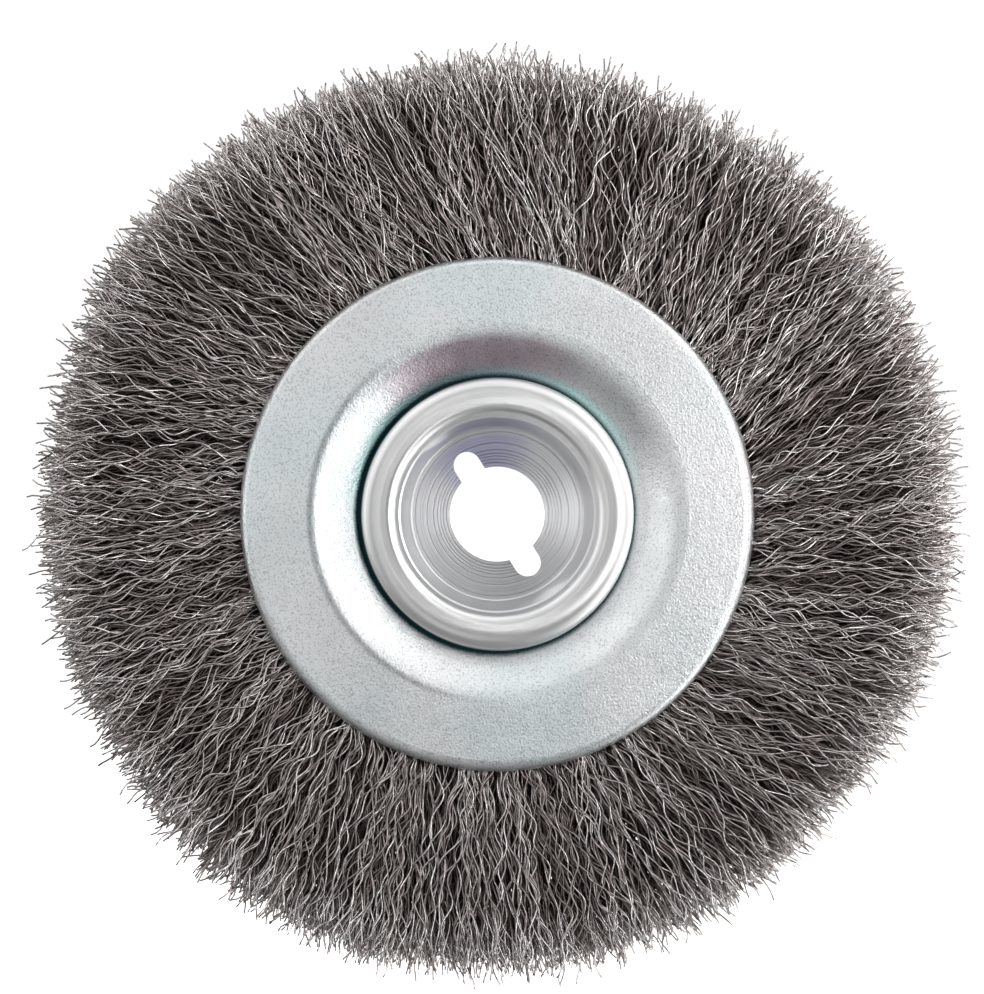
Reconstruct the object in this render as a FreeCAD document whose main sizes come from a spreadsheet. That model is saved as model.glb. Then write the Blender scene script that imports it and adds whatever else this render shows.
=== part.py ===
import FreeCAD, Part
import math
import os

import Sketcher

# A crimped wire wheel brush for a grinder's spindle. Two dished side plates clamp hanks of crimped
# wire that are folded over a core ring. Two hub cups, back to back, pinch the plates on a spacer
# ring, and carry the keyed bore.
#
# The wheel's centre is the origin and its axle runs along Y. The front faces -Y, and Z is up.
# Outlines are drawn as radius along the sketch's first axis and height above the wheel's middle
# plane along its second. The rear pieces stand as drawn, and the front ones are turned about X.

SIZES = {
    # wire fill
    "tip_radius": 100.0,
    "trim_radius": 97.0,
    "trim_half_width": 12.0,
    "tip_half_width": 8.5,
    "bundle_count": 24,
    "bundle_angle": 14.9,
    "bundle_inner_radius": 30.0,
    "bundle_clearance": 0.1,
    "bundle_round": 2.5,
    # side plates
    "plate_radius": 53.9,
    "plate_face": 9.5,
    "plate_sheet": 1.5,
    "plate_hole_radius": 23.4,
    "rim_depth": 2.5,
    "rim_round": 2.3,
    "rim_inner_round": 0.8,
    "dish_edge_radius": 37.8,
    "dish_foot_radius": 31.0,
    "dish_foot_face": 4.95,
    "dish_seat_radius": 29.4,
    "dish_floor": 4.2,
    "edge_bend_shift": 0.456,
    "foot_bend_shift": 0.74,
    "foot_bend_drop": 1.31,
    "seat_bend_shift": 0.334,
    "dish_edge_round": 8.0,
    "dish_foot_round": 8.0,
    "dish_seat_round": 3.0,
    "inside_bend_round": 2.5,
    # hub cups
    "cup_radius": 28.65,
    "lip_face": 5.9,
    "lip_round": 0.4,
    "roll_outer_radius": 26.7,
    "roll_inner_radius": 22.2,
    "roll_face": 7.6,
    "roll_outer_round": 5.8,
    "roll_inner_round": 2.6,
    "roll_under_radius": 24.2,
    "roll_under": 5.8,
    "curl_under_radius": 26.6,
    "curl_under": 5.1,
    "lip_seat_radius": 27.5,
    "ledge_outer_radius": 20.7,
    "ledge_outer_face": 5.8,
    "ledge_inner_radius": 20.3,
    "ledge_inner_face": 5.65,
    "wall_under_radius": 21.3,
    "wall_under": 3.75,
    "web_radius": 18.1,
    "web_under_radius": 18.6,
    "web_face": 2.2,
    "web_round": 0.6,
    "bore_radius": 10.0,
    "keyway_reach": 14.9,
    "keyway_width": 5.8,
    "keyway_angle": 122.0,
    "keyway_stagger": 0.5,
    # rings turned in the hub's web
    "turning_depth": 0.15,
    "turning_half_width": 0.2,
    "turning_1_radius": 17.3,
    "turning_2_radius": 14.9,
    "turning_3_radius": 13.5,
    "turning_4_radius": 12.7,
    "turning_5_radius": 12.1,
    "turning_6_radius": 11.5,
    "turning_7_radius": 10.8,
    # hidden rings
    "core_ring_radius": 35.0,
    "core_wire_radius": 2.0,
    "core_clearance": 0.05,
    "spacer_outer_radius": 28.4,
}

TURNINGS = 7
MATCH = 1e-3
ORIGIN = (-1, 1)
FIRST_AXIS = -1
CENTRE = 3
SIGNS = {"+": 1, "-": -1}

doc = FreeCAD.newDocument("wire_wheel_brush")


def make_sheet():
    """Put every driving size in the sheet, one named cell each."""
    sheet = doc.addObject("Spreadsheet::Sheet", "Sizes")
    for row, (name, number) in enumerate(SIZES.items(), start=1):
        sheet.set(f"A{row}", name)
        sheet.set(f"B{row}", str(number))
        sheet.setAlias(f"B{row}", name)
    doc.recompute()


def value(total):
    """Work out a sum of sizes and numbers, such as 'plate_face - plate_sheet'."""
    result = 0.0
    sign = 1
    for word in total.split():
        if word in SIGNS:
            sign = SIGNS[word]
        else:
            result += sign * (SIZES[word] if word in SIZES else float(word))
    return result


def bound(total, negate=False):
    """The same sum as an expression on the sheet's cells."""
    words = [f"Sizes.{word}" if word in SIZES else word for word in total.split()]
    text = " ".join(words)
    return f"-({text})" if negate else text


def origin_plane(body, role):
    """One of the body's own origin planes."""
    return next(plane for plane in body.Origin.OriginFeatures if plane.Role == role)


def make_body(label):
    body = doc.addObject("PartDesign::Body", label)
    body.Label = label
    return body


def make_sketch(body, role, name):
    """An empty sketch on one of the body's origin planes."""
    sketch = body.newObject("Sketcher::SketchObject", name)
    sketch.AttachmentSupport = (origin_plane(body, role), [""])
    sketch.MapMode = "FlatFace"
    return sketch


def pin(sketch, vertex, kind, total):
    """Hold a vertex at a signed distance from the sketch's origin, bound to the sheet."""
    number = value(total)
    below = number < 0
    ends = vertex + ORIGIN if below else ORIGIN + vertex
    index = sketch.addConstraint(Sketcher.Constraint(kind, *ends, abs(number)))
    sketch.setExpression(f"Constraints[{index}]", bound(total, negate=below))


def draw_outline(sketch, corners):
    """Draw a closed outline of straight runs through corners, each a pair of sums."""
    points = [FreeCAD.Vector(value(x), value(y), 0) for x, y in corners]
    first = len(sketch.Geometry)
    for start, end in zip(points, points[1:] + points[:1]):
        sketch.addGeometry(Part.LineSegment(start, end), False)
    for index, (x, y) in enumerate(corners):
        line = first + index
        before = first + (index - 1) % len(corners)
        sketch.addConstraint(Sketcher.Constraint("Coincident", before, 2, line, 1))
        pin(sketch, (line, 1), "DistanceX", x)
        if value(y) == 0:
            sketch.addConstraint(Sketcher.Constraint("PointOnObject", line, 1, FIRST_AXIS))
        else:
            pin(sketch, (line, 1), "DistanceY", y)


def revolve(body, sketch, kind, name):
    """Turn a sketch about the wheel's axle, to add material or to cut it."""
    feature = body.newObject(kind, name)
    feature.Profile = sketch
    feature.ReferenceAxis = (sketch, ["V_Axis"])
    feature.Angle = 360
    return feature


def ring_edges(shape, rings):
    """Names of the circular edges at each radius and height."""
    wanted = [(value(radius), value(height)) for radius, height in rings]
    found = []
    for number, edge in enumerate(shape.Edges, start=1):
        if not isinstance(edge.Curve, Part.Circle):
            continue
        radius, height = edge.Curve.Radius, edge.Curve.Center.y
        if any(abs(radius - r) < MATCH and abs(height - y) < MATCH for r, y in wanted):
            found.append(f"Edge{number}")
    if len(found) < len(rings):
        raise RuntimeError(f"ring edges found {found} for {rings}")
    return found


def round_rings(body, name, size, rings):
    """Fillet the circular edges at each radius and height."""
    doc.recompute()
    base = body.Tip
    fillet = body.newObject("PartDesign::Fillet", name)
    fillet.Base = (base, ring_edges(base.Shape, rings))
    fillet.setExpression("Radius", bound(size))


def turn_to_front():
    """Half a turn about X: what was drawn on the rear side goes to the front."""
    return FreeCAD.Rotation(FreeCAD.Vector(1, 0, 0), 180)


def turn_about_axle(degrees):
    """A turn about the axle, counted anticlockwise from +X as the front is looked at."""
    return FreeCAD.Rotation(FreeCAD.Vector(0, 1, 0), -degrees)


def make_side_plate(label, rotation):
    """Dished plate of pressed sheet with a turned-in rim."""
    body = make_body(label)
    sketch = make_sketch(body, "XY_Plane", f"{label}_outline")
    inner_face = "plate_face - plate_sheet"
    inner_floor = "dish_floor - plate_sheet"
    rim_end = "plate_face - rim_depth"
    rim_inside = "plate_radius - plate_sheet"
    draw_outline(sketch, [
        ("plate_radius", rim_end),
        ("plate_radius", "plate_face"),
        ("dish_edge_radius", "plate_face"),
        ("dish_foot_radius", "dish_foot_face"),
        ("dish_seat_radius", "dish_floor"),
        ("plate_hole_radius", "dish_floor"),
        ("plate_hole_radius", inner_floor),
        ("dish_seat_radius + seat_bend_shift", inner_floor),
        ("dish_foot_radius + foot_bend_shift", "dish_foot_face - foot_bend_drop"),
        ("dish_edge_radius + edge_bend_shift", inner_face),
        (rim_inside, inner_face),
        (rim_inside, rim_end),
    ])
    revolve(body, sketch, "PartDesign::Revolution", f"{label}_pressing")
    round_rings(body, f"{label}_rim", "rim_round", [("plate_radius", "plate_face")])
    round_rings(body, f"{label}_rim_inside", "rim_inner_round", [(rim_inside, inner_face)])
    round_rings(body, f"{label}_edge", "dish_edge_round", [("dish_edge_radius", "plate_face")])
    round_rings(body, f"{label}_foot", "dish_foot_round", [("dish_foot_radius", "dish_foot_face")])
    round_rings(body, f"{label}_seat", "dish_seat_round", [("dish_seat_radius", "dish_floor")])
    round_rings(body, f"{label}_inside_bends", "inside_bend_round", [
        ("dish_seat_radius + seat_bend_shift", inner_floor),
        ("dish_foot_radius + foot_bend_shift", "dish_foot_face - foot_bend_drop"),
        ("dish_edge_radius + edge_bend_shift", inner_face),
    ])
    body.Placement = FreeCAD.Placement(FreeCAD.Vector(0, 0, 0), rotation)
    return body


def cut_turnings(body, label):
    """Shallow V-shaped rings that the turning tool left in the web."""
    sketch = make_sketch(body, "XY_Plane", f"{label}_turnings")
    for number in range(1, TURNINGS + 1):
        radius = f"turning_{number}_radius"
        draw_outline(sketch, [
            (f"{radius} + turning_half_width", "web_face"),
            (f"{radius} - turning_half_width", "web_face"),
            (radius, "web_face - turning_depth"),
        ])
    doc.recompute()
    before = body.Tip.Shape.Volume
    groove = revolve(body, sketch, "PartDesign::Groove", f"{label}_turned_rings")
    doc.recompute()
    if not groove.Shape.Volume < before:
        raise RuntimeError(f"{label}: the turned rings cut nothing")


def cut_keyways(body, label):
    """One slot with round ends across the bore makes both keyways."""
    half_width = SIZES["keyway_width"] / 2
    arc_centre = SIZES["keyway_reach"] - half_width
    sketch = make_sketch(body, "XZ_Plane", f"{label}_keyways")
    across = FreeCAD.Vector(0, 0, 1)
    ends = []
    for side in (1, -1):
        centre = FreeCAD.Vector(side * arc_centre, 0, 0)
        circle = Part.Circle(centre, across, half_width)
        start = -side * math.pi / 2
        ends.append(sketch.addGeometry(Part.ArcOfCircle(circle, start, start + math.pi), False))
    for side in (1, -1):
        line = Part.LineSegment(
            FreeCAD.Vector(arc_centre, side * half_width, 0),
            FreeCAD.Vector(-arc_centre, side * half_width, 0),
        )
        ends.append(sketch.addGeometry(line, False))
    right, left, top, bottom = ends
    joints = [(right, 2, top, 1), (top, 2, left, 1), (left, 2, bottom, 2), (bottom, 1, right, 1)]
    for joint in joints:
        sketch.addConstraint(Sketcher.Constraint("Tangent", *joint))
    sketch.addConstraint(Sketcher.Constraint("PointOnObject", right, CENTRE, FIRST_AXIS))
    sketch.addConstraint(Sketcher.Constraint("Symmetric", left, CENTRE, right, CENTRE, *ORIGIN))
    radius = sketch.addConstraint(Sketcher.Constraint("Radius", right, half_width))
    sketch.setExpression(f"Constraints[{radius}]", "Sizes.keyway_width / 2")
    reach = Sketcher.Constraint("DistanceX", *ORIGIN, right, CENTRE, arc_centre)
    centre = sketch.addConstraint(reach)
    sketch.setExpression(f"Constraints[{centre}]", "Sizes.keyway_reach - Sizes.keyway_width / 2")
    doc.recompute()
    before = body.Tip.Shape.Volume
    pocket = body.newObject("PartDesign::Pocket", f"{label}_keyway_slot")
    pocket.Profile = sketch
    pocket.Type = "ThroughAll"
    pocket.Midplane = True
    doc.recompute()
    if not pocket.Shape.Volume < before:
        raise RuntimeError(f"{label}: the keyways cut nothing")


def make_hub_cup(label, rotation):
    """Drawn cup: rolled rim, sloping wall with a ledge, and a turned, keyed web."""
    body = make_body(label)
    sketch = make_sketch(body, "XY_Plane", f"{label}_outline")
    draw_outline(sketch, [
        ("cup_radius", "dish_floor"),
        ("cup_radius", "lip_face"),
        ("roll_outer_radius", "roll_face"),
        ("roll_inner_radius", "roll_face"),
        ("ledge_outer_radius", "ledge_outer_face"),
        ("ledge_inner_radius", "ledge_inner_face"),
        ("web_radius", "web_face"),
        ("bore_radius", "web_face"),
        ("bore_radius", "0"),
        ("web_under_radius", "0"),
        ("wall_under_radius", "wall_under"),
        ("roll_under_radius", "roll_under"),
        ("curl_under_radius", "curl_under"),
        ("lip_seat_radius", "dish_floor"),
    ])
    revolve(body, sketch, "PartDesign::Revolution", f"{label}_drawing")
    round_rings(body, f"{label}_lip_edge", "lip_round", [("cup_radius", "lip_face")])
    round_rings(body, f"{label}_roll", "roll_outer_round", [("roll_outer_radius", "roll_face")])
    round_rings(body, f"{label}_throat", "roll_inner_round", [("roll_inner_radius", "roll_face")])
    round_rings(body, f"{label}_web_edge", "web_round", [("web_radius", "web_face")])
    cut_turnings(body, label)
    cut_keyways(body, label)
    body.Placement = FreeCAD.Placement(FreeCAD.Vector(0, 0, 0), rotation)
    return body


def make_spacer_ring():
    """Plain ring between the plates, where the cups' rims pinch them."""
    label = "spacer_ring"
    body = make_body(label)
    sketch = make_sketch(body, "XY_Plane", f"{label}_outline")
    half = "dish_floor - plate_sheet"
    draw_outline(sketch, [
        ("spacer_outer_radius", half),
        ("plate_hole_radius", half),
        ("plate_hole_radius", "0 - dish_floor + plate_sheet"),
        ("spacer_outer_radius", "0 - dish_floor + plate_sheet"),
    ])
    revolve(body, sketch, "PartDesign::Revolution", f"{label}_tube")
    return body


def make_core_ring():
    """Closed hoop of round wire that the hanks are folded over."""
    hoop = doc.addObject("Part::Torus", "core_ring")
    hoop.Label = "core_ring"
    hoop.setExpression("Radius1", "Sizes.core_ring_radius")
    hoop.setExpression("Radius2", "Sizes.core_wire_radius")
    quarter = FreeCAD.Rotation(FreeCAD.Vector(1, 0, 0), 90)
    hoop.Placement = FreeCAD.Placement(FreeCAD.Vector(0, 0, 0), quarter)
    return hoop


def bundle_half():
    """Corners of a hank's section from its fold out to its tips, on one side."""
    floor = "dish_floor - plate_sheet - bundle_clearance"
    foot = "dish_foot_face - foot_bend_drop - bundle_clearance"
    face = "plate_face - plate_sheet - bundle_clearance"
    rim = "plate_face - rim_depth - bundle_clearance"
    return [
        ("bundle_inner_radius", floor),
        ("dish_foot_radius + foot_bend_shift + bundle_clearance", foot),
        ("dish_edge_radius + edge_bend_shift + bundle_clearance", face),
        ("plate_radius - plate_sheet - 1", face),
        ("plate_radius - plate_sheet - bundle_clearance", rim),
        ("plate_radius + bundle_clearance", rim),
        ("trim_radius", "trim_half_width"),
        ("tip_radius", "tip_half_width"),
    ]


def opposite(total):
    """The same sum with every sign turned."""
    flipped = {"+": "-", "-": "+"}
    return "0 - " + " ".join(flipped.get(word, word) for word in total.split())


def make_wire_bundle(number):
    """One hank of crimped wire, as the closed solid that its wires fill."""
    label = f"wire_bundle_{number:02d}"
    body = make_body(label)
    sketch = make_sketch(body, "XY_Plane", f"{label}_section")
    upper = bundle_half()
    lower = [(radius, opposite(height)) for radius, height in reversed(upper)]
    draw_outline(sketch, upper + lower)
    centre = FreeCAD.Vector(SIZES["core_ring_radius"], 0, 0)
    channel_radius = value("core_wire_radius + core_clearance")
    channel = sketch.addGeometry(
        Part.Circle(centre, FreeCAD.Vector(0, 0, 1), channel_radius), False
    )
    sketch.addConstraint(Sketcher.Constraint("PointOnObject", channel, CENTRE, FIRST_AXIS))
    pin(sketch, (channel, CENTRE), "DistanceX", "core_ring_radius")
    radius = sketch.addConstraint(Sketcher.Constraint("Radius", channel, channel_radius))
    sketch.setExpression(f"Constraints[{radius}]", bound("core_wire_radius + core_clearance"))
    hank = revolve(body, sketch, "PartDesign::Revolution", f"{label}_hank")
    hank.Midplane = True
    hank.setExpression("Angle", "Sizes.bundle_angle")
    round_rings(body, f"{label}_tips", "bundle_round", [
        ("trim_radius", "trim_half_width"),
        ("trim_radius", opposite("trim_half_width")),
    ])
    step = 360 / SIZES["bundle_count"]
    rotation = turn_about_axle((number - 0.5) * step)
    body.Placement = FreeCAD.Placement(FreeCAD.Vector(0, 0, 0), rotation)
    return body


def check_and_export(pieces):
    """Stop on any failed object, then write each piece as NODE.step."""
    doc.recompute()
    for item in doc.Objects:
        if "Invalid" in item.State or "Error" in item.State:
            raise RuntimeError(f"{item.Label} failed: {item.State}")
    for piece in pieces:
        if piece.Shape.isNull() or not piece.Shape.isValid():
            raise RuntimeError(f"{piece.Label} has no valid shape")
    os.makedirs("parts", exist_ok=True)
    for piece in pieces:
        piece.Shape.exportStep(f"parts/{piece.Label}.step")
        print(f"{piece.Label}: {piece.Shape.Volume:.0f} mm3")


make_sheet()
keyways = SIZES["keyway_angle"]
front_turn = turn_about_axle(keyways).multiply(turn_to_front())
rear_turn = turn_about_axle(keyways - SIZES["keyway_stagger"])
assembly = [
    make_side_plate("front_side_plate", turn_to_front()),
    make_side_plate("rear_side_plate", FreeCAD.Rotation()),
    make_hub_cup("front_hub_cup", front_turn),
    make_hub_cup("rear_hub_cup", rear_turn),
    make_spacer_ring(),
    make_core_ring(),
]
for bundle_number in range(1, SIZES["bundle_count"] + 1):
    assembly.append(make_wire_bundle(bundle_number))
check_and_export(assembly)
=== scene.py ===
import math

import bpy
import numpy as np
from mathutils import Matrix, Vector


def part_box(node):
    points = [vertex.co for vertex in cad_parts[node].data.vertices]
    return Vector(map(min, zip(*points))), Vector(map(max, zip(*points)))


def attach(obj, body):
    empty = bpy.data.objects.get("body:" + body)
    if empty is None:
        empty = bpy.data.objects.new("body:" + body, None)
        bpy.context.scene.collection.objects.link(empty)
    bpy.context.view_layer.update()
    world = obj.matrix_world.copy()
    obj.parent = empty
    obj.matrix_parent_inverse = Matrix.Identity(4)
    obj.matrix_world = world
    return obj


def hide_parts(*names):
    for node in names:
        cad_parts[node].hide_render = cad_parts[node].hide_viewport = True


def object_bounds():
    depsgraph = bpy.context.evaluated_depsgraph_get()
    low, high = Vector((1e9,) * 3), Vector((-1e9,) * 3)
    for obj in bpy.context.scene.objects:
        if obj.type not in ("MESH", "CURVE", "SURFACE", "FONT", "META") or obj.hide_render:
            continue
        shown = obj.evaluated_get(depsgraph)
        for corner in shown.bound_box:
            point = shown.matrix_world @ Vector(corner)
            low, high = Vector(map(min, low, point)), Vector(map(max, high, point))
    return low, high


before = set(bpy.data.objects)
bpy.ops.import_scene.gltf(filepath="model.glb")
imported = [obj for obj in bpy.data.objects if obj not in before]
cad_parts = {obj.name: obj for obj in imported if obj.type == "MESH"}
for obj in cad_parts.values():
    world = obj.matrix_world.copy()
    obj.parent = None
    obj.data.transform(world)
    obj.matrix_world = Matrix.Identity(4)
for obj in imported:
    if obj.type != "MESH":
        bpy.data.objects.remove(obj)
cad_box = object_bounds()

# Lengths are in metres, and angles in radians but where degrees are named. The axle is Y and the
# front faces -Y.
MM = 0.001
TURN = 2 * math.pi
BODY = "root"
BUNDLES = sorted(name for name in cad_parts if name.startswith("wire_bundle"))
PLATES = ("front_side_plate", "rear_side_plate")
CUPS = ("front_hub_cup", "rear_hub_cup")
HIDDEN_STEEL = ("spacer_ring", "core_ring")

# What the frame gives
plate_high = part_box("front_side_plate")[1]
cup_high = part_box("front_hub_cup")[1]
hoop_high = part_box("core_ring")[1]
TIP_RADIUS = Vector(cad_box[1]).z
TRIM_HALF_WIDTH = Vector(cad_box[1]).y
PLATE_RADIUS = plate_high.x
CUP_RIM = cup_high.x
HOOP_WIRE = hoop_high.y
HOOP_RADIUS = hoop_high.x - HOOP_WIRE


# ---------------------------------------------------------------- camera
VIEW_HEIGHT = 209.2 * MM
SENSOR_WIDTH = 36
CAMERA_DISTANCE = 1.6
CAMERA_OFFSET = Vector((-1.1 * MM, 0, 3.6 * MM))


def add_camera():
    """A long lens that looks straight at the front face, along +Y."""
    data = bpy.data.cameras.new("camera")
    data.sensor_width = SENSOR_WIDTH
    data.lens = SENSOR_WIDTH * CAMERA_DISTANCE / VIEW_HEIGHT
    data.clip_start = 0.01
    data.clip_end = 100
    camera = bpy.data.objects.new("camera", data)
    camera.location = CAMERA_OFFSET + Vector((0, -CAMERA_DISTANCE, 0))
    camera.rotation_euler = (math.pi / 2, 0, 0)
    bpy.context.scene.collection.objects.link(camera)
    bpy.context.scene.camera = camera


# ---------------------------------------------------------------- light and floor
FILL_STRENGTH = 0.25
BACKDROP_STRENGTH = 1.05
FLOOR_HALF = 60
# Groups of like softboxes: degrees off the axle, distance, width, height, radiance, and each one's
# bearing round the axle in degrees from +X. The right side is the bright one. Every softbox stands
# in front of the wheel and has a weaker twin behind it.
SOFTBOXES = {
    "far_key": (62, 1.3, 0.62, 0.62, 1.6, (-30, 30)),
    "far": (62, 1.3, 0.62, 0.62, 0.75, (60, 90, 120, 150, 180)),
    "close_key": (34, 0.27, 0.11, 0.11, 4.5, (0,)),
    "close": (34, 0.27, 0.11, 0.11, 0.6, (45, 90, 135, 180)),
    "side_key": (80, 1.3, 0.7, 0.5, 2.0, (-40, 0, 45)),
    "side": (80, 1.3, 0.7, 0.5, 1.1, (90, 135, 180)),
    "low": (36, 1.3, 0.42, 0.5, 0.65, (240,)),
    "axis": (5, 2.5, 0.5, 0.5, 0.4, (240,)),
    "axis_top": (12, 0.7, 0.16, 0.16, 0.7, (90,)),
    "axis_left": (12, 0.7, 0.16, 0.16, 1.4, (180,)),
}
REAR_SHARE = 0.8


def add_world():
    """A weak even fill in front of a white backdrop."""
    world = bpy.data.worlds.new("studio")
    world.use_nodes = True
    bpy.context.scene.world = world
    tree = world.node_tree
    tree.nodes.clear()
    output = tree.nodes.new("ShaderNodeOutputWorld")
    mix = tree.nodes.new("ShaderNodeMixShader")
    ray = tree.nodes.new("ShaderNodeLightPath")
    fill = tree.nodes.new("ShaderNodeBackground")
    fill.inputs["Color"].default_value = (1, 1, 1, 1)
    fill.inputs["Strength"].default_value = FILL_STRENGTH
    white = tree.nodes.new("ShaderNodeBackground")
    white.inputs["Color"].default_value = (1, 1, 1, 1)
    white.inputs["Strength"].default_value = BACKDROP_STRENGTH
    tree.links.new(ray.outputs["Is Camera Ray"], mix.inputs[0])
    tree.links.new(fill.outputs[0], mix.inputs[1])
    tree.links.new(white.outputs[0], mix.inputs[2])
    tree.links.new(mix.outputs[0], output.inputs["Surface"])


def add_softbox(name, place, width, height, radiance):
    """A rectangular light of the given radiance, aimed at the wheel and unseen by the camera."""
    data = bpy.data.lights.new(name, "AREA")
    data.shape = "RECTANGLE"
    data.size = width
    data.size_y = height
    data.energy = radiance * math.pi * width * height
    light = bpy.data.objects.new(name, data)
    light.location = place
    light.rotation_euler = (-place).to_track_quat("-Z", "Y").to_euler()
    light.visible_camera = False
    bpy.context.scene.collection.objects.link(light)


def add_lights():
    """Softboxes all round but straight underneath, far and close, the strongest on the right."""
    for group, (off_axis, distance, width, height, radiance, bearings) in SOFTBOXES.items():
        sweep = math.sin(math.radians(off_axis)) * distance
        ahead = math.cos(math.radians(off_axis)) * distance
        for bearing in bearings:
            turned = math.radians(bearing)
            place = Vector((sweep * math.cos(turned), -ahead, sweep * math.sin(turned)))
            add_softbox(f"{group}_{bearing}", place, width, height, radiance)
            place.y = -place.y
            add_softbox(f"{group}_{bearing}_rear", place, width, height, radiance * REAR_SHARE)


def plain_material(name, colour, roughness, metallic=0.0):
    """A material with one shader, and that shader."""
    material = bpy.data.materials.new(name)
    material.use_nodes = True
    shader = material.node_tree.nodes["Principled BSDF"]
    shader.inputs["Base Color"].default_value = (*colour, 1)
    shader.inputs["Roughness"].default_value = roughness
    shader.inputs["Metallic"].default_value = metallic
    return material, shader


def add_floor():
    """A pale floor level with the foot of the CAD's box, a hair under the lowest tips."""
    material, shader = plain_material("floor", (0.86, 0.86, 0.86), 0.7)
    shader.inputs["Emission Color"].default_value = (1, 1, 1, 1)
    shader.inputs["Emission Strength"].default_value = 1.0
    mesh = bpy.data.meshes.new("floor")
    sides = ((-1, -1), (1, -1), (1, 1), (-1, 1))
    corners = [(x * FLOOR_HALF, y * FLOOR_HALF, -TIP_RADIUS) for x, y in sides]
    mesh.from_pydata(corners, [], [(0, 1, 2, 3)])
    mesh.materials.append(material)
    floor = bpy.data.objects.new("floor", mesh)
    floor.visible_diffuse = False
    floor.visible_glossy = False
    floor.visible_shadow = False
    bpy.context.scene.collection.objects.link(floor)


# ---------------------------------------------------------------- node helpers
class Recipe:
    """Builds one material's nodes."""

    def __init__(self, name, roughness):
        self.material, self.shader = plain_material(name, (0.8, 0.8, 0.8), roughness, 1.0)
        self.tree = self.material.node_tree

    def add(self, kind, **inputs):
        """A node, with its inputs given as numbers or as sockets to link."""
        node = self.tree.nodes.new(kind)
        for key, given in inputs.items():
            self.feed(node.inputs[key.replace("_", " ")], given)
        return node

    def feed(self, socket, given):
        """Set an input, or link it when a socket is given."""
        if isinstance(given, bpy.types.NodeSocket):
            self.tree.links.new(given, socket)
        else:
            socket.default_value = given

    def maths(self, operation, *terms):
        node = self.tree.nodes.new("ShaderNodeMath")
        node.operation = operation
        for socket, term in zip(node.inputs, terms):
            self.feed(socket, term)
        return node.outputs[0]

    def vectors(self, operation, *terms):
        node = self.tree.nodes.new("ShaderNodeVectorMath")
        node.operation = operation
        for socket, term in zip(node.inputs, terms):
            self.feed(socket, term)
        return node.outputs["Vector"]

    def place(self):
        """Position in the row frame."""
        return self.add("ShaderNodeTexCoord").outputs["Object"]

    def polar(self):
        """Distance from the axle and angle about it."""
        split = self.add("ShaderNodeSeparateXYZ", Vector=self.place())
        x, z = split.outputs["X"], split.outputs["Z"]
        squares = self.maths("ADD", self.maths("MULTIPLY", x, x), self.maths("MULTIPLY", z, z))
        return self.maths("SQRT", squares), self.maths("ARCTAN2", z, x)

    def toward(self, angle, bearing):
        """1 at a bearing in degrees, 0 square to it and -1 opposite it."""
        return self.maths("COSINE", self.maths("SUBTRACT", angle, math.radians(bearing)))

    def noise(self, vector, scale, detail):
        return self.add("ShaderNodeTexNoise", Vector=vector, Scale=scale, Detail=detail).outputs["Fac"]

    def combine(self, x, y, z):
        return self.add("ShaderNodeCombineXYZ", X=x, Y=y, Z=z).outputs[0]

    def ramp(self, value, stops):
        """A colour or grey that changes with a value; stops are (position, colour)."""
        node = self.add("ShaderNodeValToRGB", Fac=value)
        node.color_ramp.interpolation = "EASE"
        elements = node.color_ramp.elements
        while len(elements) < len(stops):
            elements.new(0.5)
        for element, (position, colour) in zip(elements, stops):
            element.position = position
            element.color = (*colour, 1)
        return node.outputs["Color"]

    def span(self, value, low, high, to_low=0.0, to_high=1.0):
        """Map a value's range onto another one, clamped."""
        node = self.add("ShaderNodeMapRange")
        node.interpolation_type = "SMOOTHSTEP"
        for index, given in enumerate((value, low, high, to_low, to_high)):
            self.feed(node.inputs[index], given)
        return node.outputs["Result"]

    def blend(self, kind, share, first, second):
        """Mix two colours; the Mix node's colour sockets are numbers 6 and 7, and its output 2."""
        node = self.tree.nodes.new("ShaderNodeMix")
        node.data_type = "RGBA"
        node.blend_type = kind
        for number, given in ((0, share), (6, first), (7, second)):
            self.feed(node.inputs[number], given)
        return node.outputs[2]

    def bump(self, height, distance, normal=None):
        node = self.add("ShaderNodeBump", Height=height, Distance=distance, Strength=1.0)
        if normal is not None:
            self.feed(node.inputs["Normal"], normal)
        return node.outputs["Normal"]

    def finish(self, colour, roughness=None, normal=None):
        """Link what is given to the shader; the rest keeps its plain value."""
        for key, given in (("Base Color", colour), ("Roughness", roughness), ("Normal", normal)):
            if given is not None:
                self.feed(self.shader.inputs[key], given)
        return self.material


# ---------------------------------------------------------------- metal finishes
# colour of the painted shadow round the hub's rim
PAINTED_RIM_SHADOW = (0.012, 0.04, 0.047, 1)
# Each finish, painted shade and painted reflection fades from full to none over a range of distances
# from the axle. The painted reflection at the dish edge also grows from none to full over the first
# two of its four distances.
DISH_WALL = (36.4 * MM, 38.4 * MM)
DISH_FOOT = (30.2 * MM, 32.0 * MM)
DISH_EDGE = (38.0 * MM, 39.0 * MM, 39.3 * MM, 40.4 * MM)
TURNED_WEB = (17.9 * MM, 18.3 * MM)
# range of the web's violet tint with painted shade
WEB_TOP_SHADE = (16.6 * MM, 17.4 * MM)


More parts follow.
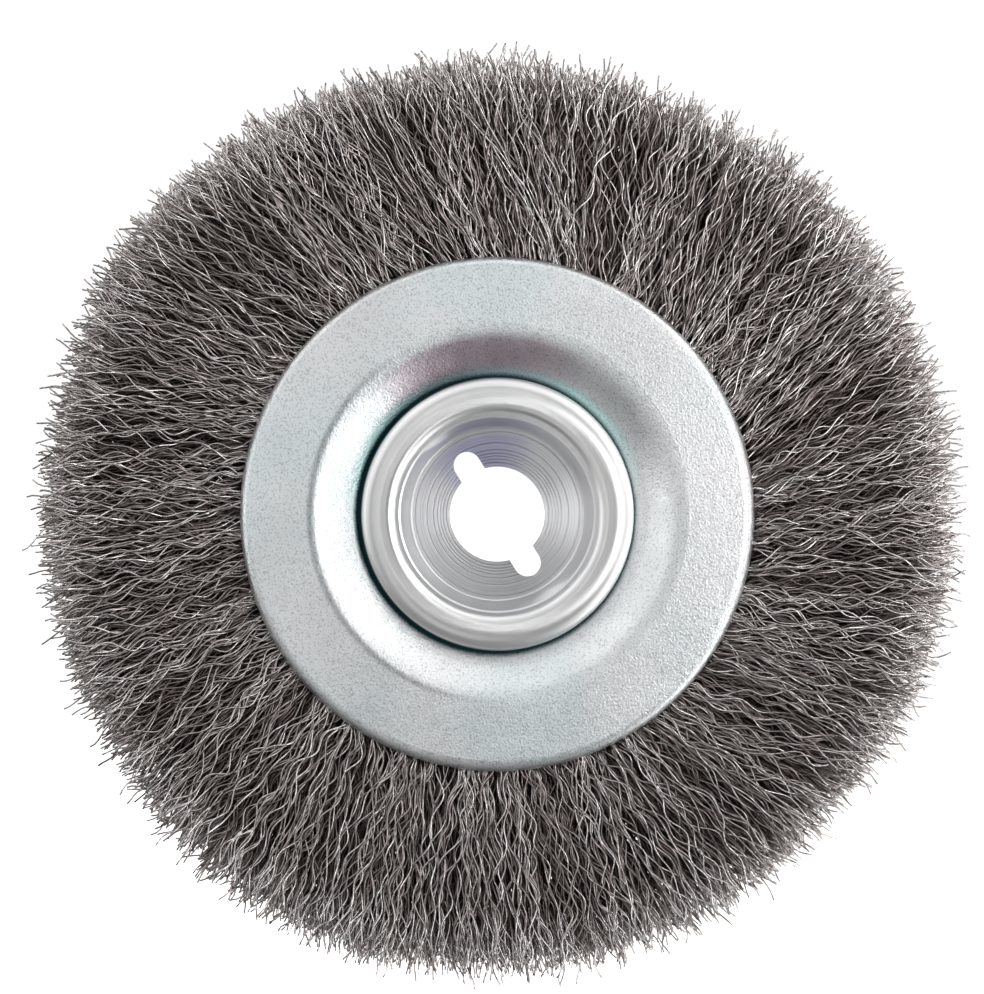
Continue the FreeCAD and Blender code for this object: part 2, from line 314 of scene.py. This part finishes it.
def plate_material():
    """Zinc plate on rolled sheet: orange peel and faint clouds, with violet and teal tints, painted
    shade, a painted reflection and a painted shadow.
    """
    make = Recipe("plate_zinc", 0.4)
    place = make.place()
    clouds = make.noise(place, 45, 4)
    tint = make.noise(place, 26, 2)
    tone = make.ramp(clouds, [(0.3, (0.77, 0.785, 0.79)), (0.7, (0.865, 0.875, 0.88))])
    stain = make.ramp(tint, [
        (0.36, (0.92, 0.985, 1.0)),
        (0.5, (0.98, 1, 1)),
        (0.66, (1.0, 0.98, 0.985)),
    ])
    colour = make.blend("MULTIPLY", 1.0, tone, stain)
    roughness = make.span(make.noise(place, 320, 3), 0.3, 0.7, 0.33, 0.43)
    grain = make.noise(place, 2600, 1)
    specks = make.ramp(grain, [(0.32, (0.7, 0.7, 0.71)), (0.48, (1, 1, 1))])
    colour = make.blend("MULTIPLY", 1.0, colour, specks)
    # violet and teal tints with painted shade over the upper half of the dish, which is darker there:
    # violet on its wall, teal at its foot
    radius, angle = make.polar()
    upper = make.toward(angle, 97)
    wall_violet_shade = make.maths("MULTIPLY", make.span(upper, 0.7, 1.0), make.span(radius, *DISH_WALL, 1, 0))
    colour = make.blend("MULTIPLY", wall_violet_shade, colour, (0.76, 0.61, 0.68, 1))
    foot_teal_shade = make.maths("MULTIPLY", make.span(upper, -0.2, 0.9), make.span(radius, *DISH_FOOT, 1, 0))
    colour = make.blend("MULTIPLY", foot_teal_shade, colour, (0.66, 0.97, 0.94, 1))
    # a painted dark reflection on the bend at the dish's edge, on the left
    lopsided = make.toward(angle, 195)
    rising, falling = make.span(radius, *DISH_EDGE[:2]), make.span(radius, *DISH_EDGE[2:], 1, 0)
    bend = make.maths("MULTIPLY", rising, falling)
    bend_painted_reflection = make.maths("MULTIPLY", make.span(lopsided, 0.1, 0.8), bend)
    colour = make.blend("MULTIPLY", bend_painted_reflection, colour, (0.56, 0.56, 0.57, 1))
    # painted shadow along the hub's rim, wider on the left
    edge = make.maths("MULTIPLY_ADD", lopsided, 0.4 * MM, CUP_RIM + 0.6 * MM)
    edge = make.maths("MULTIPLY_ADD", grain, 0.7 * MM, edge)
    inner, outer = make.maths("SUBTRACT", edge, 0.55 * MM), make.maths("ADD", edge, 0.7 * MM)
    rim_painted_shadow = make.span(radius, inner, outer, 1, 0)
    colour = make.blend("MIX", rim_painted_shadow, colour, PAINTED_RIM_SHADOW)
    normal = make.bump(make.noise(place, 620, 2), 0.06 * MM)
    normal = make.bump(make.noise(place, 2300, 2), 0.1 * MM, normal)
    return make.finish(colour, roughness, normal)


def cup_material():
    """Zinc plate on a drawn cup: draw marks over the rolled rim and fine rings on the turned web."""
    make = Recipe("hub_zinc", 0.3)
    make.shader.inputs["Anisotropic"].default_value = 0.8
    make.shader.inputs["Anisotropic Rotation"].default_value = 0.25
    radius, angle = make.polar()
    place = make.place()
    on_web = make.span(radius, *TURNED_WEB, 1, 0)
    # turning marks run round the web and draw marks run across the rolled rim
    round_axle = make.add("ShaderNodeTangent")
    round_axle.direction_type = "RADIAL"
    round_axle.axis = "Y"
    facing = make.add("ShaderNodeNewGeometry").outputs["Normal"]
    across = make.vectors("CROSS_PRODUCT", facing, round_axle.outputs[0])
    tangent = make.blend("MIX", on_web, across, round_axle.outputs[0])
    make.feed(make.shader.inputs["Tangent"], tangent)
    clouds = make.noise(place, 60, 3)
    tone = make.ramp(clouds, [(0.3, (0.74, 0.745, 0.745)), (0.7, (0.83, 0.83, 0.825))])
    colour = make.blend("MULTIPLY", on_web, tone, (0.82, 0.82, 0.845, 1))
    # a violet tint with painted shade over the upper part of the web
    upper = make.toward(angle, 105)
    web_violet_shade = make.maths("MULTIPLY", make.span(upper, 0.6, 1.0), make.span(radius, *WEB_TOP_SHADE, 1, 0))
    colour = make.blend("MULTIPLY", web_violet_shade, colour, (0.77, 0.76, 0.97, 1))
    # the painted shadow round the rim reaches up the foot of the rolled rim on the left
    lopsided = make.toward(angle, 185)
    at_foot = make.span(radius, CUP_RIM - 0.4 * MM, CUP_RIM - 0.05 * MM)
    rim_foot_painted_shadow = make.maths("MULTIPLY", make.span(lopsided, -0.4, 0.5), at_foot)
    colour = make.blend("MIX", rim_foot_painted_shadow, colour, PAINTED_RIM_SHADOW)
    rings = make.noise(make.combine(make.maths("MULTIPLY", radius, 3600), 0, 0), 1.0, 3)
    ring_tone = make.ramp(rings, [(0.35, (0.82, 0.82, 0.82)), (0.6, (1, 1, 1))])
    colour = make.blend("MULTIPLY", on_web, colour, ring_tone)
    roughness = make.span(radius, *TURNED_WEB, 0.42, 0.34)
    normal = make.bump(make.maths("MULTIPLY", rings, on_web), 0.05 * MM)
    streaks = make.noise(make.combine(make.maths("MULTIPLY", angle, 70), radius, 0), 1.0, 2)
    off_web = make.maths("SUBTRACT", 1.0, on_web)
    normal = make.bump(make.maths("MULTIPLY", streaks, off_web), 0.015 * MM, normal)
    return make.finish(colour, roughness, normal)


def hidden_material():
    """Bare mottled steel for the rings that the plates hide."""
    make = Recipe("plain_steel", 0.45)
    clouds = make.noise(make.place(), 120, 3)
    tone = make.ramp(clouds, [(0.3, (0.36, 0.35, 0.34)), (0.7, (0.5, 0.5, 0.49))])
    return make.finish(tone)


def dress(names, material):
    """Give CAD nodes their material."""
    for name in names:
        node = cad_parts[name]
        node.data.materials.clear()
        node.data.materials.append(material)


# ---------------------------------------------------------------- crimped wires
# Steps from painted shade on deep wires, dark and brownish, to painted light on outer wires and tips:
# grey of the colour, and roughness.
WIRE_SHADES = ((0.19, 0.42), (0.25, 0.38), (0.35, 0.33), (0.49, 0.29), (0.65, 0.26), (0.82, 0.24))
# tints of the painted shade on deep wires and of the painted light on outer wires and tips
DEEP_SHADE_TINT = (1.0, 0.80, 0.73)
PAINTED_LIGHT_TINT = (1.0, 0.955, 0.94)
WIRE_RADIUS = 0.225 * MM
SIDES = 3
HAIRPINS = 250
TUFTS = 60
LEG_POINTS = 44
LEG_START = 49 * MM
LEG_TIP = 93.35 * MM
TIP_GAP = 0.3 * MM
# painted light on the tips grows over this span of radius
TIP_LIGHT_FROM = 82 * MM
TIP_LIGHT_OVER = 9 * MM
PINCH_HALF_WIDTH = 6.6 * MM
TRIM_GAP = 1.4 * MM
HOOP_GAP = 0.3 * MM
FOLD_DEPTH = 2.0 * MM
FOLD_NECK = 42 * MM
NECK_HALF_WIDTH = 7.0 * MM
CRIMP_PITCH = 10.4 * MM
STRAY_SHARE = 0.01
BAKE_MAP = "OFBake"


def wire_material(index):
    """One step from painted shade to painted light on the wires, a little mottled."""
    grey, roughness = WIRE_SHADES[index]
    # how far this step is from painted shade toward painted light
    light_share = index / (len(WIRE_SHADES) - 1)
    colour = [grey * (shaded + (bright - shaded) * light_share) for shaded, bright in zip(DEEP_SHADE_TINT, PAINTED_LIGHT_TINT)]
    make = Recipe(f"wire_steel_{index}", roughness)
    spots = make.noise(make.place(), 700, 2)
    return make.finish(make.ramp(spots, [
        (0.35, [0.8 * part for part in colour]),
        (0.65, [1.2 * part for part in colour]),
    ]))


def fill_share(radius):
    """0 at the plates' rim and 1 at the trimmed outside."""
    return np.clip((radius - PLATE_RADIUS) / (TIP_RADIUS - PLATE_RADIUS), 0, 1)


def fill_half_width(radius):
    """Half the fill's width along the axle, from the pinch under the rim out to the tips."""
    spread = TRIM_HALF_WIDTH - TRIM_GAP - PINCH_HALF_WIDTH
    return PINCH_HALF_WIDTH + spread * fill_share(radius) ** 0.9


def with_tufts(rng, tuft, spread, own):
    """A value that wires of one tuft nearly share."""
    shared = rng.normal(0, spread, TUFTS)
    return shared[tuft] + rng.normal(0, own, len(tuft))


def leg_paths(rng, middle, sector, side):
    """Legs from under the rim to the tips: points, angles they start at, and depth in the fill."""
    tuft = rng.integers(0, TUFTS, HAIRPINS)
    tuft_angle = (np.arange(TUFTS) + rng.uniform(0, 1, TUFTS)) / TUFTS - 0.5
    tuft_depth = rng.permutation(np.linspace(0.05, 0.97, TUFTS))
    base_angle = middle + sector * tuft_angle[tuft] + rng.normal(0, np.radians(0.45), HAIRPINS)
    depth = np.clip(tuft_depth[tuft] + rng.normal(0, 0.06, HAIRPINS), 0, 1)
    step = np.linspace(0, 1, LEG_POINTS)[None, :]
    trim_wave = 0.9 * MM * np.sin(3 * base_angle + 1.0) + 0.6 * MM * np.sin(7 * base_angle + 4.0)
    tip = LEG_TIP + trim_wave + with_tufts(rng, tuft, 1.3 * MM, 1.9 * MM)
    tip = np.minimum(tip, TIP_RADIUS - TIP_GAP)
    radius = LEG_START + (tip - LEG_START)[:, None] * step
    # lean from the radial line: a swirl that fades outward, plus the tuft's and the wire's own
    swirl = np.radians(13 + 5 * np.cos(base_angle - 0.9) + 3 * np.sin(5 * base_angle))
    own = with_tufts(rng, tuft, np.radians(6), np.radians(6))
    stray = rng.random(HAIRPINS) < STRAY_SHARE
    own = np.where(stray, rng.normal(0, np.radians(14), HAIRPINS), own)
    fade = 1 - 0.75 * fill_share(radius)
    bend = with_tufts(rng, tuft, np.radians(6), np.radians(6))[:, None]
    bend_from = rng.uniform(0, TURN, TUFTS)[tuft][:, None]
    lean = swirl[:, None] * fade + own[:, None] + bend * np.sin(bend_from + 4.5 * step)
    lean = np.clip(lean, -0.8, 0.8)
    turn = np.tan(lean) / radius
    gap = np.diff(radius, axis=1)
    angle = np.zeros_like(radius)
    angle[:, 1:] = np.cumsum(0.5 * (turn[:, 1:] + turn[:, :-1]) * gap, axis=1)
    angle += base_angle[:, None]
    # each wire's crimp lies in a plane of its own
    length = np.zeros_like(radius)
    length[:, 1:] = np.cumsum(gap / np.cos(lean[:, 1:]), axis=1)
    pitch = CRIMP_PITCH * (1 + with_tufts(rng, tuft, 0.07, 0.02))[:, None]
    shared_phase = rng.uniform(0, TURN, TUFTS)[tuft]
    phase = TURN * length / pitch + (shared_phase + rng.normal(0, 0.8, HAIRPINS))[:, None]
    grow = np.clip((radius - LEG_START) / (6 * MM), 0, 1)
    swell = 1 + 0.25 * np.sin(0.37 * phase + rng.uniform(0, TURN, HAIRPINS)[:, None])
    swing = rng.uniform(0.7, 1.15, HAIRPINS)[:, None] * MM * swell * np.sin(phase) * grow
    plane = (rng.uniform(0, math.pi, TUFTS)[tuft] + rng.normal(0, 0.35, HAIRPINS))[:, None]
    # on the way out a wire comes up through its neighbours or sinks below them
    share = fill_share(radius)
    drift = with_tufts(rng, tuft, 0.12, 0.14)[:, None]
    weave = 0.08 * np.sin(rng.uniform(0, TURN, HAIRPINS)[:, None] + 8 * share)
    level = np.clip(depth[:, None] + drift * (share - 0.5) + weave * (share > 0), 0, 1)
    y = side * level * fill_half_width(radius) + 0.8 * swing * np.sin(plane)
    y += with_tufts(rng, tuft, 0.5 * MM, 0.6 * MM)[:, None] * step ** 2
    y = np.where(stray[:, None], y + side * 1.2 * MM * step, y)
    angle = angle + swing * np.cos(plane) / radius
    legs = np.stack([radius * np.cos(angle), y, radius * np.sin(angle)], axis=2)
    return legs, base_angle, level


def fold_paths(front_angle, rear_angle, depth):
    """Points of the folds round the core ring, from the front legs to the rear ones."""
    reach = HOOP_WIRE + HOOP_GAP + depth * FOLD_DEPTH
    sweep = np.linspace(-math.pi / 2, -1.5 * math.pi, 5)
    radius = HOOP_RADIUS + reach[:, None] * np.cos(sweep)[None, :]
    y = reach[:, None] * np.sin(sweep)[None, :]
    neck = np.full((len(depth), 1), FOLD_NECK)
    wide = depth[:, None] * NECK_HALF_WIDTH + HOOP_GAP
    radius = np.hstack([neck, radius, neck])
    y = np.hstack([-wide, y, wide])
    share = np.linspace(0, 1, radius.shape[1])[None, :]
    angle = front_angle[:, None] * (1 - share) + rear_angle[:, None] * share
    return np.stack([radius * np.cos(angle), y, radius * np.sin(angle)], axis=2)


def tube_mesh(name, paths, radius, sideways, shades):
    """Thin tubes along the paths, with closed ends, as one mesh."""
    wires, points, _ = paths.shape
    ahead = np.gradient(paths, axis=1)
    ahead /= np.linalg.norm(ahead, axis=2, keepdims=True)
    side = sideways[:, None, :] - (ahead @ sideways[:, :, None]) * ahead
    side /= np.linalg.norm(side, axis=2, keepdims=True)
    other = np.cross(ahead, side)
    spokes = np.arange(SIDES) * TURN / SIDES
    ring = (
        side[:, :, None, :] * np.cos(spokes)[None, None, :, None]
        + other[:, :, None, :] * np.sin(spokes)[None, None, :, None]
    )
    vertices = paths[:, :, None, :] + ring * radius[:, None, None, None]
    index = np.arange(wires * points * SIDES).reshape(wires, points, SIDES)
    following = np.roll(index, -1, axis=2)
    quads = np.stack([index[:, :-1], following[:, :-1], following[:, 1:], index[:, 1:]], axis=3)
    quads = quads.reshape(wires, -1, 4)
    caps = np.stack([index[:, 0, ::-1], index[:, -1, :]], axis=1)
    face_shades = np.hstack([np.repeat(shades, SIDES, axis=1), shades[:, :1], shades[:, -1:]])
    loops = np.concatenate([quads.reshape(wires, -1), caps.reshape(wires, -1)], axis=1).ravel()
    sizes = np.tile(np.r_[np.full(quads.shape[1], 4), np.full(2, SIDES)], wires)
    starts = np.r_[0, np.cumsum(sizes)[:-1]]
    mesh = bpy.data.meshes.new(name)
    mesh.vertices.add(vertices.size // 3)
    mesh.vertices.foreach_set("co", vertices.astype(np.float32).ravel())
    mesh.loops.add(len(loops))
    mesh.loops.foreach_set("vertex_index", loops.astype(np.int32))
    mesh.polygons.add(len(sizes))
    mesh.polygons.foreach_set("loop_start", starts.astype(np.int32))
    mesh.polygons.foreach_set("material_index", face_shades.astype(np.int32).ravel())
    mesh.update(calc_edges=True)
    # a strip of the image for each wire: along it, then round it
    along = np.repeat(np.linspace(0, 1, points), SIDES)[None, :].repeat(wires, axis=0).ravel()
    round_it = np.tile(np.linspace(0.2, 0.8, SIDES), wires * points)
    strip = np.repeat(np.arange(wires), points * SIDES)
    map_places = np.stack([along, (strip + round_it) / wires], axis=1)
    bake_map = mesh.uv_layers.new(name=BAKE_MAP)
    bake_map.uv.foreach_set("vector", map_places[loops].astype(np.float32).ravel())
    mesh.shade_smooth()
    return mesh


def pick_shades(rng, level, paths):
    """A shade for each stretch: painted light on outer wires and tips, painted shade on the wires
    further in.
    """
    radius = np.hypot(paths[:, 1:, 0], paths[:, 1:, 2])
    outer = np.clip((level[:, 1:] - 0.66) / 0.3, 0, 1)
    tip = np.clip((radius - TIP_LIGHT_FROM) / TIP_LIGHT_OVER, 0, 1)
    own = rng.normal(0, 0.12, (len(level), 1))
    share = 0.1 + 0.6 * outer + 0.56 * tip * (1 - 0.5 * outer) + own
    return (np.clip(share, 0, 0.999) * len(WIRE_SHADES)).astype(int)


def add_wires(number, node, materials):
    """The wires of one hank, in place of its plain solid."""
    rng = np.random.default_rng(1000 + number)
    sector = TURN / len(BUNDLES)
    middle = (number - 0.5) * sector
    front, front_angle, front_level = leg_paths(rng, middle, sector, -1)
    rear, rear_angle, rear_level = leg_paths(rng, middle, sector, 1)
    # each hairpin joins legs that start at a like depth
    order = np.argsort(front_level[:, 0])
    front, front_angle, front_level = front[order], front_angle[order], front_level[order]
    order = np.argsort(rear_level[:, 0])
    rear, rear_angle, rear_level = rear[order], rear_angle[order], rear_level[order]
    fold = fold_paths(front_angle, rear_angle, front_level[:, 0])
    paths = np.concatenate([front[:, ::-1], fold, rear], axis=1)
    level = np.hstack([front_level[:, ::-1], np.zeros(fold.shape[:2]), rear_level])
    sideways = np.stack([-np.sin(front_angle), np.zeros(HAIRPINS), np.cos(front_angle)], axis=1)
    radius = rng.normal(WIRE_RADIUS, 0.01 * MM, HAIRPINS)
    shades = pick_shades(rng, level, paths)
    mesh = tube_mesh(f"wires_{number:02d}", paths, radius, sideways, shades)
    for material in materials:
        mesh.materials.append(material)
    piece = bpy.data.objects.new(mesh.name, mesh)
    bpy.context.scene.collection.objects.link(piece)
    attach(piece, BODY)
    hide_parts(node)


# ---------------------------------------------------------------- the scene
bpy.context.scene.view_settings.view_transform = "Standard"
add_camera()
add_world()
add_lights()
add_floor()
dress(PLATES, plate_material())
dress(CUPS, cup_material())
dress(HIDDEN_STEEL, hidden_material())
wire_materials = [wire_material(index) for index in range(len(WIRE_SHADES))]
for bundle_index, bundle in enumerate(BUNDLES, start=1):
    add_wires(bundle_index, bundle, wire_materials)
